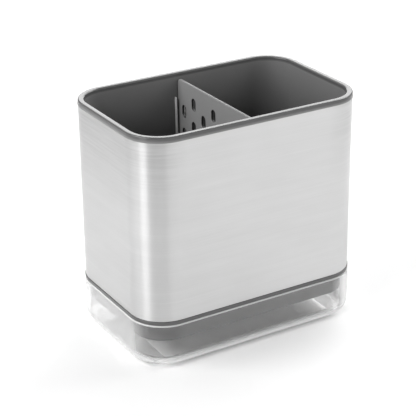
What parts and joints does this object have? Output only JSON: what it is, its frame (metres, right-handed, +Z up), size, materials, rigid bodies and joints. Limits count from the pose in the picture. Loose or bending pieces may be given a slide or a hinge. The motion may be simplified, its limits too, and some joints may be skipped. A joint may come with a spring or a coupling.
{
  "type": "kitchen sink caddy",
  "caption": "Free-standing sink caddy: brushed steel sleeve round a moulded liner with a rim, lift-out perforated divider, base collar and clear drip tray that lifts off for emptying.",
  "frame": {"origin": "centre of the drip tray's underside, on the counter", "axes": "+X along the caddy's length, +Y across it towards the back, +Z up"},
  "size_m": [0.1588, 0.1024, 0.152],
  "materials": {
    "brushed_sleeve": "stainless steel sheet brushed along the horizontal",
    "dark_plastic": "dark grey moulded plastic, satin",
    "grey_plastic": "mid grey moulded plastic, satin",
    "clear_plastic": "clear moulded plastic, polished",
    "screw_steel": "plain stainless screw"
  },
  "bodies": {
    "tray": {"drip_tray": "clear_plastic"},
    "caddy": {"steel_sleeve": "brushed_sleeve", "liner": "dark_plastic", "base_collar": "dark_plastic", "base_screws": "screw_steel"},
    "divider": {"divider": "grey_plastic"}
  },
  "joints": [
    {"name": "caddy_lift", "type": "slide", "parent": "tray", "child": "caddy", "axis": [0, 0, 1], "range_m": [0, 0.06]},
    {"name": "divider_lift", "type": "slide", "parent": "caddy", "child": "divider", "axis": [0, 0, 1], "range_m": [0, 0.12]}
  ]
}
